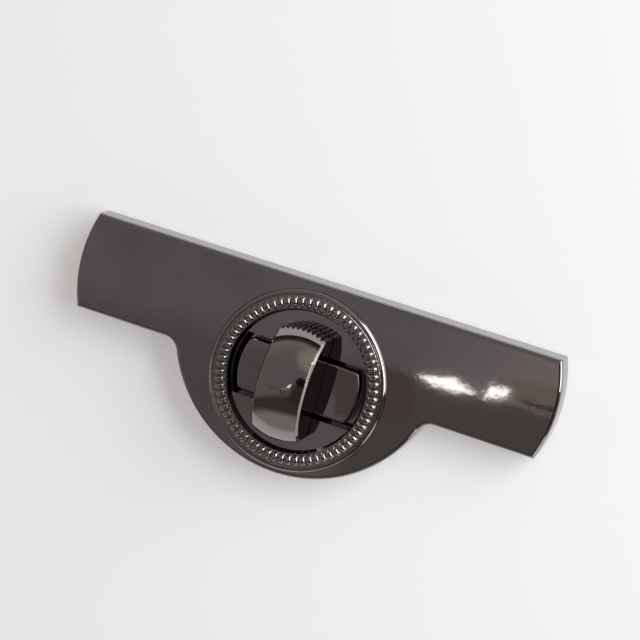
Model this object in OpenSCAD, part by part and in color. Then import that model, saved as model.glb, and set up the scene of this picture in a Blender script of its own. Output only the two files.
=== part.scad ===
// Bag twist lock: a winged flap plate with a beaded ring, closed on a turn knob.
// Origin on the twist axis in the rear plane, X along the plate, Y towards the
// straight edge, Z out of the face. The knob stands across the slot (locked).

/* [Wing plate] */
// Length over the crowned ends
plate_len = 96; // [90:0.5:104]
// Height of the two wings
wing_h = 18.85; // [17.5:0.05:20]
// Twist axis to the straight edge
edge_y = 19; // [18.5:0.05:20]
// Radius of the crowned ends
end_r = 27; // [22:0.5:34]
// Radius of the lobe under the ring
lobe_r = 26.45; // [25:0.05:29]
// Twist axis to the bottom of the lobe
lobe_drop = 18.35; // [18:0.05:19.6]
// Radius of the necks between wings and lobe
neck_r = 3; // [2:0.25:5]
// Depth from the rear plane to the face
plate_h = 6; // [5.6:0.1:7.5]
// Rounding of the face edge
edge_round = 0.7; // [0.4:0.05:1]
// Draft of the outer walls, in degrees
draft = 2.4; // [0:0.2:4]
// Thickness of the side walls
wall = 1.4; // [1:0.1:1.8]
// Thickness of the face
face_t = 1.4; // [1:0.1:1.6]
// Twist axis to the outer casting nub on the lower edge
outer_nub_x = 39.3; // [36:0.1:41]
// Twist axis to the inner casting nub on the lower edge
inner_nub_x = 27.8; // [27:0.1:32]
// Radius of a casting nub
nub_r = 0.5; // [0.3:0.05:0.8]

/* [Back plate] */
// Thickness of the back plate
back_t = 1; // [0.8:0.1:1.3]
// Step of the back plate inside the outline
back_inset = 0.15; // [0.1:0.05:0.4]
// Twist axis to the outer screws
outer_screw_x = 40; // [36:0.5:42]
// Twist axis to the inner screws
inner_screw_x = 24; // [21:0.5:27]
// Shank radius of the back plate screws
screw_r = 0.9; // [0.7:0.05:1]
// Head radius of the back plate screws
screw_head_r = 1.75; // [1.5:0.05:1.8]
// Length of the back plate screws
screw_len = 4; // [3:0.1:4.2]
// Radius of the screw posts
post_r = 2.2; // [2:0.1:2.6]

/* [Beaded ring] */
// Outer radius of the ring on the face
ring_r = 17.4; // [17.3:0.05:17.6]
// Radius of the well at its floor
well_r = 13.25; // [13.2:0.05:13.4]
// Radius of the well at its mouth
mouth_r = 13.75; // [13.5:0.05:13.8]
// Outer radius of the sleeve that passes through the face
sleeve_r = 14.4; // [14.2:0.05:14.8]
// Radius of the smooth shoulder
shoulder_r = 0.8; // [0.6:0.05:0.95]
// Radius of the line of beads
bead_line_r = 15; // [14.95:0.05:15.1]
// Number of beads
bead_count = 68; // [56:1:68]
// Radius of one bead, seen end on
bead_r = 0.6; // [0.5:0.02:0.62]
// Radius that a bead is bent to, at its middle
bead_bend_r = 0.7; // [0.65:0.05:0.75]
// Rise of the beads over the shoulder
bead_rise = 0.62; // [0.5:0.02:0.7]
// Depth of the well floor under the face
floor_drop = 0.6; // [0.2:0.1:0.8]
// Thickness of the well floor
floor_t = 1.2; // [0.8:0.1:1.4]
// Width of the slot in the floor
slot_w = 12.1; // [11.4:0.1:13]

/* [Turn base] */
// Radius of the base flange
base_r = 13.9; // [13.5:0.1:14.1]
// Thickness of the base flange
flange_t = 1.8; // [1.6:0.1:2]
// Twist axis to the pads that carry the well floor
pad_y = 6.35; // [6.3:0.01:6.4]
// Radius of the boss ends
boss_r = 12.1; // [11.8:0.1:12.8]
// Width of the boss
boss_w = 10.2; // [9.6:0.1:10.8]
// Rise of the boss over the well floor
boss_rise = 0.2; // [0:0.05:0.3]
// Corner radius of the boss
boss_corner = 1.2; // [0.8:0.1:1.6]
// Rounding of the boss's top edge
boss_round = 0.45; // [0.3:0.05:0.6]

/* [Turn knob] */
// Width of the knob
knob_w = 9.3; // [8:0.1:9.6]
// Radius of the knob's fluted ends
rim_r = 10.75; // [10.4:0.05:11.2]
// Radius of the dome along the knob
dome_r = 12.35; // [12:0.05:12.8]
// Radius of the dome across the knob
crown_r = 14; // [12:0.5:18]
// Top of the dome over the well floor
dome_rise = 11.7; // [11:0.05:12.2]
// Underside of the knob over the well floor
knob_gap = 0.5; // [0.45:0.05:0.8]
// Bevel along the two sides of the dome
knob_bevel = 0.35; // [0.2:0.05:0.5]
// Flutes in a full turn
flute_count = 68; // [56:1:76]
// Radius of one flute
flute_r = 0.4; // [0.3:0.01:0.45]
// Depth of one flute
flute_depth = 0.28; // [0.2:0.01:0.3]
// Radius of the stem
stem_r = 2; // [1.8:0.05:2.2]
// Width of the square tenon
tenon_w = 2.6; // [2.3:0.1:2.8]
// Radius of the peened head
peen_r = 2.1; // [2:0.05:2.3]
// Height of the peened head
peen_h = 0.5; // [0.4:0.05:0.6]

/* [Stop plate and spring] */
// Thickness of the stop plate
stop_t = 0.9; // [0.7:0.05:1]
// Radius of the stop plate
stop_r = 3.3; // [3.2:0.05:3.5]
// Reach of the stop finger
finger_r = 4.3; // [4.1:0.05:4.4]
// Width of the stop finger
finger_w = 2; // [1.6:0.1:2.6]
// Thickness of the cone spring
spring_t = 0.35; // [0.25:0.05:0.4]
// Outer radius of the cone spring
spring_r = 3.1; // [2.9:0.05:3.2]
// Height of the cone spring as fitted
spring_h = 0.75; // [0.6:0.05:0.85]

/* [Cover and mounting] */
// Thickness of the cover
cover_t = 0.8; // [0.7:0.05:0.9]
// Radius of the cover
cover_r = 8.4; // [8.2:0.1:8.6]
// Twist axis to the cover screws
cover_screw_y = 7.1; // [7:0.05:7.2]
// Shank radius of the cover screws
cover_screw_r = 0.5; // [0.4:0.05:0.6]
// Head radius of the cover screws
cover_head_r = 0.95; // [0.8:0.05:1]
// Length of the cover screws
cover_screw_len = 3; // [2:0.1:3.2]
// Radius of the two tapped mounting holes
mount_r = 0.8; // [0.7:0.05:0.9]
// Twist axis to the mounting holes
mount_x = 10.4; // [10.2:0.05:10.6]
// Depth of the mounting holes
mount_depth = 3.5; // [2.5:0.1:4]

/* [Fits] */
// Radial clearance of the stem in its bore
turn_clear = 0.05; // [0.02:0.01:0.1]
// Clearance of seated pieces
seat_clear = 0.05; // [0.02:0.01:0.1]
// Clearance of the finger at its stops
stop_clear = 0.03; // [0.02:0.01:0.06]
// Free space of the turning pieces along the axis
axial_clear = 0.05; // [0.03:0.01:0.1]
// Radial clearance of the screws in their holes
screw_clear = 0.03; // [0.02:0.01:0.05]

/* [Hidden] */
$fn = 96;
slot_cut = 0.35;
neck_bite = 0.02;
spill = 1;
mid_y = edge_y - wing_h / 2;
low_y = edge_y - wing_h;
end_x = plate_len / 2 - end_r;
lobe_y = lobe_r - lobe_drop;
neck_y = low_y - neck_r;
neck_x = sqrt(pow(lobe_r + neck_r, 2) - pow(lobe_y - neck_y, 2));
round_in = edge_round * (1 - sin(draft)) / cos(draft);
edge_steps = 4;
inside_z = plate_h - face_t;
base_gap = 0.2;
base_room_r = base_r + base_gap;
collar_r = max(sleeve_r + seat_clear, base_room_r) + wall;
screw_places = [for (side = [-1, 1], x = [inner_screw_x, outer_screw_x]) [side * x, mid_y]];

floor_z = plate_h - floor_drop;
floor_low_z = floor_z - floor_t;
land_z = plate_h + shoulder_r;
shoulder_line_r = ring_r - shoulder_r;
groove_r = 0.15;
bead_z = land_z + bead_rise - bead_r - bead_bend_r;

boss_z = floor_z + boss_rise;
corner_y = boss_w / 2 - boss_corner;
corner_x = sqrt(pow(boss_r - boss_corner, 2) - pow(corner_y, 2));
corner_angle = atan2(corner_y, corner_x);

knob_z = floor_z + knob_gap;
dome_z = floor_z + dome_rise - dome_r;
crown_drop = crown_r - dome_r;
side_r = sqrt(pow(crown_r, 2) - pow(knob_w / 2, 2)) - crown_drop;
bevel_r = sqrt(pow(crown_r, 2) - pow(knob_w / 2 - knob_bevel, 2)) - crown_drop;
flutes_each_side = floor(asin(knob_w / 2 / rim_r) * flute_count / 360);

peen_z = cover_t + axial_clear;
stop_z = peen_z + peen_h;
spring_z = stop_z + stop_t + axial_clear;
cavity_z = spring_z + spring_h + axial_clear;
pocket_clear = 0.2;

gunmetal = [0.27, 0.26, 0.27];
bright_gunmetal = [0.28, 0.27, 0.27];
steel = [0.62, 0.62, 0.64];

// Plan of the web that a neck is cut from, on the right (1) or left (-1)
module neck_web(side) {
    corners = [[side * neck_x, neck_y], [side * neck_x, mid_y], [0, lobe_y]];
    polygon(side > 0 ? corners : [corners[1], corners[0], corners[2]]);
}

// Plan of the plate, drawn in from its outline
module plate_outline(inset = 0) {
    difference() {
        union() {
            translate([-end_x, low_y + inset]) square([2 * end_x, wing_h - 2 * inset]);
            intersection() {
                translate([0, lobe_y]) circle(lobe_r - inset);
                translate([-lobe_r, mid_y - 2 * lobe_r]) square(2 * lobe_r);
            }
            for (side = [-1, 1]) {
                intersection() {
                    translate([side * (end_x + end_r / 2), mid_y])
                        square([end_r + spill, wing_h - 2 * inset], center = true);
                    translate([side * end_x, mid_y]) circle(end_r - inset);
                }
                neck_web(side);
            }
        }
        for (side = [-1, 1]) translate([side * neck_x, neck_y]) circle(neck_r + inset + neck_bite);
    }
}

// Points round the face edge, from the wall up to the face, out from a centre
function edge_points(centre_x, out) = [
    for (i = [0 : edge_steps])
        let (angle = draft + (90 - draft) * i / edge_steps)
        [centre_x + out * edge_round * cos(angle), plate_h - edge_round * (1 - sin(angle))]];

// Half section of a drafted wall with a rounded face edge
module edge_section(reach) {
    foot = [[0, 0], [reach + plate_h * tan(draft), 0]];
    polygon(concat(foot, edge_points(reach - round_in, 1), [[0, plate_h]]));
}

// Section that cuts a neck, with the same draft and rounding on its outside
module neck_section() {
    cut_r = neck_r + neck_bite;
    foot = [[0, -spill], [cut_r - (plate_h + spill) * tan(draft), -spill]];
    head = [[cut_r + round_in, plate_h + spill], [0, plate_h + spill]];
    polygon(concat(foot, edge_points(cut_r + round_in, -1), head));
}

// A length of wing from one place along X to another
module wing_bar(start, end) {
    translate([start, mid_y, 0]) rotate([90, 0, 90]) linear_extrude(end - start) {
        edge_section(wing_h / 2);
        mirror([1, 0]) edge_section(wing_h / 2);
    }
}

// The plate's outer form as a full block
module plate_block() {
    difference() {
        union() {
            wing_bar(-end_x, end_x);
            intersection() {
                translate([0, lobe_y, 0]) rotate_extrude() edge_section(lobe_r);
                translate([-2 * lobe_r, mid_y - 4 * lobe_r, 0]) cube([4 * lobe_r, 4 * lobe_r, plate_h]);
            }
            for (side = [-1, 1]) {
                intersection() {
                    wing_bar(side > 0 ? end_x - spill : -plate_len, side > 0 ? plate_len : spill - end_x);
                    translate([side * end_x, mid_y, 0]) rotate_extrude() edge_section(end_r);
                }
                linear_extrude(plate_h) neck_web(side);
            }
        }
        for (side = [-1, 1]) translate([side * neck_x, neck_y, 0]) rotate_extrude() neck_section();
    }
}

// Countersunk slotted screw with its head at z = 0, pointing up
module flat_screw(shank_r, head_r, length) {
    head_h = head_r - shank_r;
    difference() {
        union() {
            cylinder(h = head_h, r1 = head_r, r2 = shank_r);
            cylinder(h = length, r = shank_r);
        }
        translate([-head_r, -slot_cut / 2, -spill]) cube([2 * head_r, slot_cut, spill + slot_cut]);
    }
}

// Room for a countersunk screw
module screw_room(shank_r, head_r, length) {
    head_h = head_r - shank_r;
    cylinder(h = length, r = shank_r + screw_clear);
    cylinder(h = head_h, r1 = head_r + screw_clear, r2 = shank_r + screw_clear);
}

// Hollow cast shell with screw posts and a collar round the ring
module wing_plate() {
    color(gunmetal) difference() {
        union() {
            plate_block();
            for (x = [outer_nub_x, inner_nub_x]) translate([-x, low_y, 0]) cylinder(h = plate_h / 2, r = nub_r);
        }
        translate([-plate_len, -plate_len, -spill]) cube([2 * plate_len, 2 * plate_len, spill + back_t]);
        difference() {
            linear_extrude(inside_z) plate_outline(wall);
            cylinder(h = plate_h, r = collar_r);
            for (place = screw_places) translate(place) cylinder(h = plate_h, r = post_r);
        }
        cylinder(h = plate_h + spill, r = sleeve_r + seat_clear);
        cylinder(h = floor_low_z, r = base_room_r);
        for (place = screw_places) translate(place) screw_room(screw_r, screw_head_r, screw_len + screw_clear);
    }
}

// Half section of the ring: floor, sloping well wall, smooth shoulder and bead land
module ring_section() {
    difference() {
        union() {
            polygon([[0, floor_low_z], [sleeve_r, floor_low_z], [sleeve_r, plate_h], [shoulder_line_r, plate_h],
                [shoulder_line_r, land_z], [mouth_r, land_z], [well_r, floor_z], [0, floor_z]]);
            intersection() {
                translate([shoulder_line_r, plate_h]) circle(shoulder_r);
                translate([well_r, plate_h]) square([ring_r - well_r, shoulder_r]);
            }
        }
        translate([shoulder_line_r - groove_r, land_z]) circle(groove_r);
    }
}

// One bead, a round rod bent over the land along X
module bead() {
    rotate([90, 0, 0]) rotate_extrude(angle = 180) translate([bead_bend_r, 0]) circle(bead_r);
}

// Ring with a slotted floor and a row of radial beads
module beaded_ring() {
    color(bright_gunmetal) {
        difference() {
            rotate_extrude() ring_section();
            intersection() {
                translate([-well_r, -slot_w / 2, 0]) cube([2 * well_r, slot_w, floor_z + spill]);
                cylinder(h = floor_z + spill, r = well_r);
            }
        }
        for (i = [0 : bead_count - 1]) rotate(i * 360 / bead_count) translate([bead_line_r, 0, bead_z]) bead();
    }
}

// Flat plate that closes the shell's rear
module back_plate() {
    color(gunmetal) difference() {
        linear_extrude(back_t) plate_outline(back_inset);
        translate([0, 0, -spill]) cylinder(h = back_t + 2 * spill, r = base_room_r);
        for (place = screw_places) translate(place) screw_room(screw_r, screw_head_r, back_t + spill);
    }
}

// Four flush screws that hold the back plate
module back_plate_screws() {
    color(steel) for (place = screw_places) translate(place) flat_screw(screw_r, screw_head_r, screw_len);
}

// Plan of the boss: a bar with ends round the twist axis and round corners
module boss_outline(inset = 0) {
    end_r = boss_r - inset;
    half_w = boss_w / 2 - inset;
    intersection() {
        circle(end_r);
        union() {
            square([2 * corner_x, 2 * half_w], center = true);
            for (side = [0, 1]) mirror([side, 0])
                polygon([[0, 0], [2 * boss_r * cos(corner_angle), 2 * boss_r * sin(corner_angle)],
                    [2 * boss_r * cos(corner_angle), -2 * boss_r * sin(corner_angle)]]);
            for (x = [-1, 1], y = [-1, 1]) translate([x * corner_x, y * corner_y]) circle(boss_corner - inset);
        }
    }
}

// Boss with a rounded top edge
module boss() {
    round_z = boss_z - boss_round;
    hull() {
        linear_extrude(round_z) boss_outline();
        for (angle = [30, 60, 90])
            linear_extrude(round_z + boss_round * sin(angle)) boss_outline(boss_round * (1 - cos(angle)));
    }
}

// Room that the stop plate turns in: its end walls stop the finger a quarter turn apart
module stop_pocket() {
    circle(stop_r + pocket_clear);
    intersection() {
        circle(finger_r + pocket_clear);
        translate([1, 1] * -(finger_w / 2 + stop_clear)) square(2 * finger_r);
    }
}

// Pad on the flange that carries one segment of the well floor
module pad() {
    intersection() {
        cylinder(h = floor_low_z, r = base_r);
        translate([-base_r, pad_y, 0]) cube([2 * base_r, base_r, floor_low_z]);
    }
}

// Base that stays on the bag: flange, pads, boss, stem bore and stop pocket
module turn_base() {
    color(gunmetal) difference() {
        union() {
            cylinder(h = flange_t, r = base_r);
            for (side = [0, 1]) mirror([0, side, 0]) pad();
            boss();
        }
        cylinder(h = boss_z + spill, r = stem_r + turn_clear);
        translate([0, 0, -spill]) linear_extrude(cavity_z + spill) stop_pocket();
        translate([0, 0, -spill]) cylinder(h = spill + cover_t, r = cover_r + seat_clear);
        for (side = [-1, 1]) {
            translate([0, side * cover_screw_y, 0]) cylinder(h = cover_screw_len + screw_clear,
                r = cover_screw_r + screw_clear);
            translate([side * mount_x, 0, -spill]) cylinder(h = spill + mount_depth, r = mount_r);
        }
    }
}

// Half section of the dome, with its crown and bevels, along the knob's width
module dome_section() {
    half_w = knob_w / 2;
    intersection() {
        translate([-crown_drop, 0]) circle(crown_r);
        polygon([[0, -half_w], [side_r - knob_bevel, -half_w], [bevel_r, knob_bevel - half_w],
            [2 * dome_r, knob_bevel - half_w], [2 * dome_r, half_w - knob_bevel],
            [bevel_r, half_w - knob_bevel], [side_r - knob_bevel, half_w], [0, half_w]]);
    }
}

// Domed bar with upright ends round the twist axis
module domed_bar() {
    intersection() {
        translate([0, 0, dome_z]) rotate([0, 90, 0]) rotate_extrude() dome_section();
        translate([0, 0, knob_z]) cylinder(h = 2 * dome_r, r = rim_r);
    }
}

// Grip of the knob: the bar with flutes in its ends
module grip() {
    difference() {
        domed_bar();
        for (end = [90, 270], i = [-flutes_each_side : flutes_each_side])
            rotate(end + i * 360 / flute_count) translate([rim_r + flute_r - flute_depth, 0, knob_z - spill])
                cylinder(h = 2 * dome_r, r = flute_r);
    }
}

// Domed knob with fluted ends, a round stem, a square tenon and a peened end
module turn_knob() {
    color(bright_gunmetal) {
        grip();
        translate([0, 0, stop_z + stop_t]) cylinder(h = knob_z - stop_z - stop_t, r = stem_r);
        translate([-tenon_w / 2, -tenon_w / 2, stop_z]) cube([tenon_w, tenon_w, stop_t]);
        translate([0, 0, peen_z]) cylinder(h = peen_h, r = peen_r);
    }
}

// Plate keyed on the tenon, with the finger that meets the stops
module stop_plate() {
    hole_w = tenon_w + 2 * seat_clear;
    color(steel) translate([0, 0, stop_z]) linear_extrude(stop_t) difference() {
        union() {
            circle(stop_r);
            intersection() {
                circle(finger_r);
                translate([0, -finger_w / 2]) square([finger_r, finger_w]);
            }
        }
        square(hole_w, center = true);
    }
}

// Cone spring that presses the stop plate down and takes up the play
module cone_spring() {
    spring_in_r = stem_r + pocket_clear;
    rise = spring_h - spring_t;
    color(steel) translate([0, 0, spring_z]) rotate_extrude()
        polygon([[spring_in_r, 0], [spring_r, rise], [spring_r, spring_h], [spring_in_r, spring_t]]);
}

// Round cover over the stop pocket
module base_cover() {
    color(gunmetal) difference() {
        cylinder(h = cover_t, r = cover_r);
        for (side = [-1, 1]) translate([0, side * cover_screw_y, 0])
            screw_room(cover_screw_r, cover_head_r, cover_t + spill);
    }
}

// Two flush screws that hold the cover
module cover_screws() {
    color(steel) for (side = [-1, 1]) translate([0, side * cover_screw_y, 0])
        flat_screw(cover_screw_r, cover_head_r, cover_screw_len);
}

wing_plate();
beaded_ring();
back_plate();
back_plate_screws();
turn_base();
turn_knob();
stop_plate();
cone_spring();
base_cover();
cover_screws();
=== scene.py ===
"""Looks of the bag twist lock: polished black nickel, lying on a white table."""
import math

import bpy
from mathutils import Matrix, Vector

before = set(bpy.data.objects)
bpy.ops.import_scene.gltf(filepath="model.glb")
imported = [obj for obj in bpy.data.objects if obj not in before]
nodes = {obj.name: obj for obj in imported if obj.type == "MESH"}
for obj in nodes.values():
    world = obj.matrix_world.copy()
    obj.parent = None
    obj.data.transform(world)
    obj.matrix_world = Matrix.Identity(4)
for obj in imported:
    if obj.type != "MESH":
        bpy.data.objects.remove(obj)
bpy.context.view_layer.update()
scene = bpy.context.scene
scene.view_settings.view_transform = "Standard"

# Camera of the photograph, in metres, with its lens and sensor in millimetres
CAMERA_PLACE = Vector((0.07727, 0.06939, 0.31085))
CAMERA_AIM = Vector((0.00125, 0.0124, 0.006))
CAMERA_UP = Vector((-0.300, 0.948, -0.103))
CAMERA_LENS = 96.8
CAMERA_NEAR = 0.01
SENSOR_WIDTH = 36.0

# Colours of the room by the height of the direction, from the horizon to the zenith
ROOM_HEIGHTS = (
    (0.00, (0.050, 0.038, 0.032)),
    (0.13, (0.075, 0.055, 0.045)),
    (0.24, (0.42, 0.38, 0.33)),
    (0.60, (0.30, 0.275, 0.245)),
    (1.00, (0.28, 0.26, 0.265)),
)
# Mottling of those colours: the scale and detail of its noise, and its darkest and palest shade
CLOUD_NOISE = (28, 3)
CLOUD_SHADES = (0.75, 1.25)
# Patches of the room: a colour, then edges as (direction, cosine of the edge, half its softness)
ROOM_PATCHES = (
    # Brown wall towards -Y and +X, and the pale wall under it
    ((0.11, 0.085, 0.076), (((0.35, -0.94, 0.0), 0.30, 0.10),)),
    ((0.50, 0.455, 0.42), (((0.0, -1.0, 0.0), 0.81, 0.07),)),
    # Pale wall beside the window
    ((0.60, 0.53, 0.45), (((0.29, 0.77, 0.57), 0.94, 0.05),)),
    # Two far lamps, low on either side
    ((2.2, 2.2, 2.2), (((0.77, -0.52, 0.37), 0.985, 0.006),)),
    ((1.0, 1.0, 1.0), (((-0.86, -0.35, 0.37), 0.99, 0.004),)),
    # The photographer, and the camera
    ((0.08, 0.06, 0.058), (((0.50, -0.20, 0.84), 0.89, 0.05),)),
    ((0.025, 0.018, 0.020), (((0.26, 0.16, 0.95), 0.988, 0.006),)),
    # Ceiling: shaded towards -X, warm towards +X, olive beyond the lit strip
    ((0.215, 0.188, 0.19), (((0.0, -1.0, 0.0), 0.20, 0.012), ((0.0, 1.0, 0.0), -0.26, 0.02),
                            ((-1.0, 0.0, 0.0), 0.235, 0.02), ((0.0, 0.0, 1.0), 0.8, 0.1))),
    ((0.47, 0.40, 0.39), (((1.0, 0.0, 0.0), -0.15, 0.05), ((-1.0, 0.0, 0.0), 0.04, 0.02),
                          ((0.0, -1.0, 0.0), 0.11, 0.04), ((0.0, 1.0, 0.0), -0.25, 0.03))),
    ((0.185, 0.172, 0.148), (((0.0, -1.0, 0.0), 0.1945, 0.0005), ((1.0, 0.0, 0.0), -0.205, 0.006),
                             ((-1.0, 0.0, 0.0), 0.03, 0.03), ((0.0, 1.0, 0.0), -0.36, 0.04))),
)
# Patches of the ceiling: a colour, half the softness of the edge, and the corners as X and Y of
# the direction, counterclockwise
CEILING_PATCHES = (
    # Reddish stretch
    ((0.20, 0.14, 0.135), 0.0015, ((-0.225, -0.199), (-0.213, -0.228), (-0.172, -0.219), (-0.1775, -0.1946))),
    # Small lamp over the knob
    ((2.6, 2.4, 2.0), 0.008, ((-0.06, -0.10), (0.02, -0.10), (0.05, 0.03), (-0.01, 0.01))),
    # Lit strip
    ((4.4, 4.3, 4.1), 0.0006, ((-0.176, -0.1935), (-0.168, -0.1954), (-0.150, -0.1955), (-0.139, -0.1943),
                               (-0.157, -0.188))),
    # Brown stretch and the dark beam along it
    ((0.41, 0.33, 0.26), 0.0015, ((-0.1352, -0.182), (-0.117, -0.189), (-0.094, -0.189), (-0.094, -0.177))),
    ((0.06, 0.045, 0.04), 0.0006, ((-0.120, -0.1893), (-0.1094, -0.1922), (-0.090, -0.1925),
                                   (-0.090, -0.1895))),
    # Second piece of the lit strip
    ((4.4, 4.3, 4.0), 0.0008, ((-0.1362, -0.1956), (-0.1247, -0.191), (-0.122, -0.1868), (-0.1342, -0.187))),
)
# What the camera sees beyond the table
BACKDROP_COLOUR = (0.9, 0.9, 0.905)

# Window that lights the table, with angles in radians and lengths in metres
WINDOW_AZIMUTH = math.radians(31)
WINDOW_HEIGHT = math.radians(26)
WINDOW_DISTANCE = 0.8
WINDOW_SIZE = (0.86, 0.52)
WINDOW_RADIANCE = 5.2
WINDOW_COLOUR = (0.98, 0.99, 1.0)

# White table top: half its width in metres, its colour, and its glow for the camera and in reflections
TABLE_HALF = 3.0
TABLE_COLOUR = (0.845, 0.860, 0.874)
TABLE_GLOW = 0.285

# Noise of the metals' patterns: cells per metre, and detail
TINT_NOISE = (140, 3)
GLOSS_NOISE = (900, 4)
LONG_WAVE_NOISE = (60, 1)
SHORT_WAVE_NOISE = (420, 2)
# Least and most roughness as shares of a metal's own
GLOSS_SHARES = (0.6, 1.4)
# Height of the long waves as a multiple of the short ones
LONG_WAVE_RISE = 6
# Samples of the shader that softens the edges
EDGE_SAMPLES = 6


def add(tree, kind, inputs=None, **settings):
    """A shader node with its settings; inputs are links or values by socket."""
    made = tree.nodes.new("ShaderNode" + kind)
    for key, value in settings.items():
        setattr(made, key, value)
    for socket, value in (inputs or {}).items():
        if isinstance(value, bpy.types.NodeSocket):
            tree.links.new(value, made.inputs[socket])
        else:
            made.inputs[socket].default_value = value
    return made


def noise(tree, place, pattern):
    """Socket with a noise of a scale and detail."""
    scale, detail = pattern
    return add(tree, "TexNoise", {"Vector": place, "Scale": scale, "Detail": detail}).outputs["Fac"]


def waves(tree, height, distance, normal):
    """Socket with a normal that waves bend."""
    return add(tree, "Bump", {"Distance": distance, "Height": height, "Normal": normal}).outputs[0]


def turned(place, aim, up):
    """Matrix of a camera or lamp at a place that looks at a point."""
    back = (place - aim).normalized()
    right = up.cross(back).normalized()
    turn = Matrix((right, back.cross(right), back)).transposed()
    return Matrix.Translation(place) @ turn.to_4x4()


def make_camera():
    """The photograph's camera, with no shift."""
    data = bpy.data.cameras.new("camera")
    data.lens = CAMERA_LENS
    data.sensor_width = SENSOR_WIDTH
    data.clip_start = CAMERA_NEAR
    camera = bpy.data.objects.new("camera", data)
    camera.matrix_world = turned(CAMERA_PLACE, CAMERA_AIM, CAMERA_UP)
    scene.collection.objects.link(camera)
    scene.camera = camera


def make_window():
    """The window that lights the table, a soft lamp hidden from the camera."""
    data = bpy.data.lights.new("window", "AREA")
    data.shape = "RECTANGLE"
    data.size, data.size_y = WINDOW_SIZE
    data.energy = WINDOW_RADIANCE * math.pi * WINDOW_SIZE[0] * WINDOW_SIZE[1]
    data.color = WINDOW_COLOUR
    window = bpy.data.objects.new("window", data)
    flat = math.cos(WINDOW_HEIGHT)
    across = flat * math.cos(WINDOW_AZIMUTH)
    along = flat * math.sin(WINDOW_AZIMUTH)
    towards = Vector((across, along, math.sin(WINDOW_HEIGHT)))
    window.matrix_world = turned(WINDOW_DISTANCE * towards, Vector((0, 0, 0)), Vector((0, 0, 1)))
    window.visible_camera = False
    scene.collection.objects.link(window)


def fence(corners, soft):
    """Edges of a ceiling patch, each the inner side of the line through two corners."""
    edges = []
    for start, end in zip(corners, corners[1:] + corners[:1]):
        along = (Vector(end) - Vector(start)).normalized()
        inward = Vector((-along.y, along.x))
        edges.append(((inward.x, inward.y, 0.0), inward.dot(Vector(start)), soft))
    return edges


def patch_mask(tree, direction, edges):
    """Socket that is 1 inside a patch of the room and 0 outside."""
    mask = 1.0
    for towards, level, soft in edges:
        reach = add(tree, "VectorMath", {0: direction, 1: towards}, operation="DOT_PRODUCT")
        limits = {"Value": reach.outputs["Value"], "From Min": level - soft, "From Max": level + soft}
        inside = add(tree, "MapRange", limits, interpolation_type="SMOOTHSTEP")
        mask = add(tree, "Math", {0: inside.outputs["Result"], 1: mask}, operation="MULTIPLY").outputs[0]
    return mask


def room_colour(tree):
    """Socket with the room's colour in each direction."""
    direction = add(tree, "TexCoord").outputs["Generated"]
    height = add(tree, "SeparateXYZ", {0: direction}).outputs["Z"]
    ramp = add(tree, "ValToRGB", {0: height})
    stops = ramp.color_ramp.elements
    stops.remove(stops[1])
    stops[0].position, colour = ROOM_HEIGHTS[0]
    stops[0].color = (*colour, 1)
    for position, colour in ROOM_HEIGHTS[1:]:
        stops.new(position).color = (*colour, 1)
    cloud = noise(tree, direction, CLOUD_NOISE)
    darkest, palest = CLOUD_SHADES
    shade = add(tree, "MapRange", {"Value": cloud, "To Min": darkest, "To Max": palest}).outputs["Result"]
    seen = add(tree, "VectorMath", {0: ramp.outputs[0], "Scale": shade}, operation="SCALE").outputs["Vector"]
    fenced = tuple((colour, fence(corners, soft)) for colour, soft, corners in CEILING_PATCHES)
    for colour, edges in ROOM_PATCHES + fenced:
        layers = {"Factor": patch_mask(tree, direction, edges), "A": seen, "B": (*colour, 1)}
        seen = add(tree, "Mix", layers, data_type="RGBA").outputs["Result"]
    return seen


def make_world():
    """The room that the metal mirrors, and white where the camera sees it."""
    world = bpy.data.worlds.new("room")
    world.use_nodes = True
    tree = world.node_tree
    tree.nodes.clear()
    room = add(tree, "Background", {"Color": room_colour(tree)})
    backdrop = add(tree, "Background", {"Color": (*BACKDROP_COLOUR, 1)})
    seen = add(tree, "LightPath").outputs["Is Camera Ray"]
    mix = add(tree, "MixShader", {0: seen, 1: room.outputs[0], 2: backdrop.outputs[0]})
    add(tree, "OutputWorld", {0: mix.outputs[0]})
    scene.world = world


def make_floor():
    """A white table top that glows a little for the camera and in reflections."""
    corners = [(x * TABLE_HALF, y * TABLE_HALF, 0) for x, y in ((-1, -1), (1, -1), (1, 1), (-1, 1))]
    mesh = bpy.data.meshes.new("floor")
    mesh.from_pydata(corners, [], [(0, 1, 2, 3)])
    floor = bpy.data.objects.new("floor", mesh)
    scene.collection.objects.link(floor)
    material = bpy.data.materials.new("table_white")
    material.use_nodes = True
    tree = material.node_tree
    tree.nodes.clear()
    matt = add(tree, "BsdfDiffuse", {"Color": (*TABLE_COLOUR, 1)})
    path = add(tree, "LightPath")
    seen = path.outputs["Is Camera Ray"]
    for kind in ("Is Glossy Ray", "Is Transmission Ray"):
        seen = add(tree, "Math", {0: seen, 1: path.outputs[kind]}, operation="MAXIMUM").outputs[0]
    level = add(tree, "Math", {0: seen, 1: TABLE_GLOW}, operation="MULTIPLY")
    glow = add(tree, "Emission", {"Strength": level.outputs[0]})
    both = add(tree, "AddShader", {0: matt.outputs[0], 1: glow.outputs[0]})
    add(tree, "OutputMaterial", {0: both.outputs[0]})
    mesh.materials.append(material)


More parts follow.
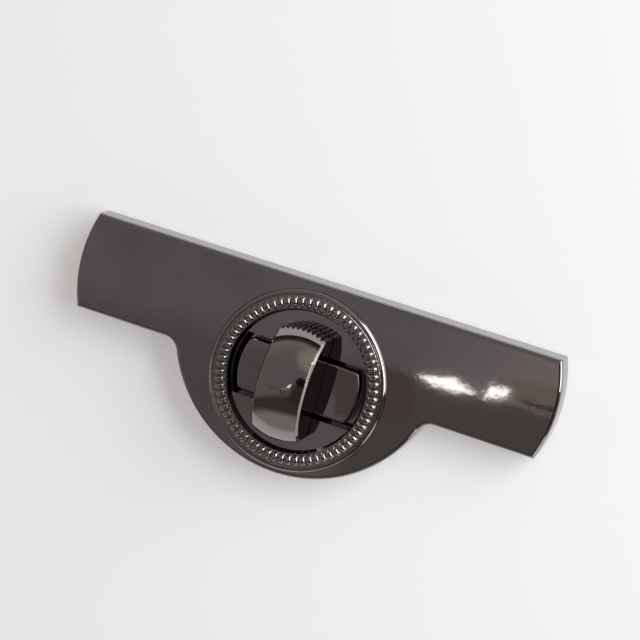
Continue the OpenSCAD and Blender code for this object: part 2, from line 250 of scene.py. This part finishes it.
def metal(name, dark, pale, roughness, wave, edge):
    """Metal with faint clouding, waves of a height and soft edges of a radius, both in metres."""
    material = bpy.data.materials.new(name)
    material.use_nodes = True
    tree = material.node_tree
    shader = tree.nodes["Principled BSDF"]
    shader.inputs["Metallic"].default_value = 1.0
    place = add(tree, "TexCoord").outputs["Object"]
    clouds = {"Factor": noise(tree, place, TINT_NOISE), "A": (*dark, 1), "B": (*pale, 1)}
    tint = add(tree, "Mix", clouds, data_type="RGBA")
    tree.links.new(tint.outputs["Result"], shader.inputs["Base Color"])
    least, most = (share * roughness for share in GLOSS_SHARES)
    specks = noise(tree, place, GLOSS_NOISE)
    gloss = add(tree, "MapRange", {"Value": specks, "To Min": least, "To Max": most})
    tree.links.new(gloss.outputs[0], shader.inputs["Roughness"])
    soft_edge = add(tree, "Bevel", {"Radius": edge}, samples=EDGE_SAMPLES).outputs[0]
    long_waves = waves(tree, noise(tree, place, LONG_WAVE_NOISE), LONG_WAVE_RISE * wave, soft_edge)
    short_waves = waves(tree, noise(tree, place, SHORT_WAVE_NOISE), wave, long_waves)
    tree.links.new(short_waves, shader.inputs["Normal"])
    return material


def dress(name, material):
    """Gives a node of the frame its material."""
    data = nodes[name].data
    data.materials.clear()
    data.materials.append(material)


make_camera()
make_world()
make_window()
make_floor()
plate_nickel = metal("plate_nickel", (0.255, 0.245, 0.25), (0.285, 0.275, 0.28), 0.025, 2e-6, 2e-4)
ring_nickel = metal("ring_nickel", (0.265, 0.255, 0.255), (0.295, 0.285, 0.285), 0.05, 1e-6, 5e-5)
knob_nickel = metal("knob_nickel", (0.255, 0.245, 0.24), (0.285, 0.275, 0.27), 0.03, 1e-6, 1e-4)
steel = metal("steel", (0.55, 0.55, 0.56), (0.62, 0.62, 0.63), 0.25, 2e-6, 1e-4)
for name in ("wing_plate", "back_plate", "turn_base", "base_cover"):
    dress(name, plate_nickel)
dress("beaded_ring", ring_nickel)
dress("turn_knob", knob_nickel)
for name in ("back_plate_screws", "stop_plate", "cone_spring", "cover_screws"):
    dress(name, steel)
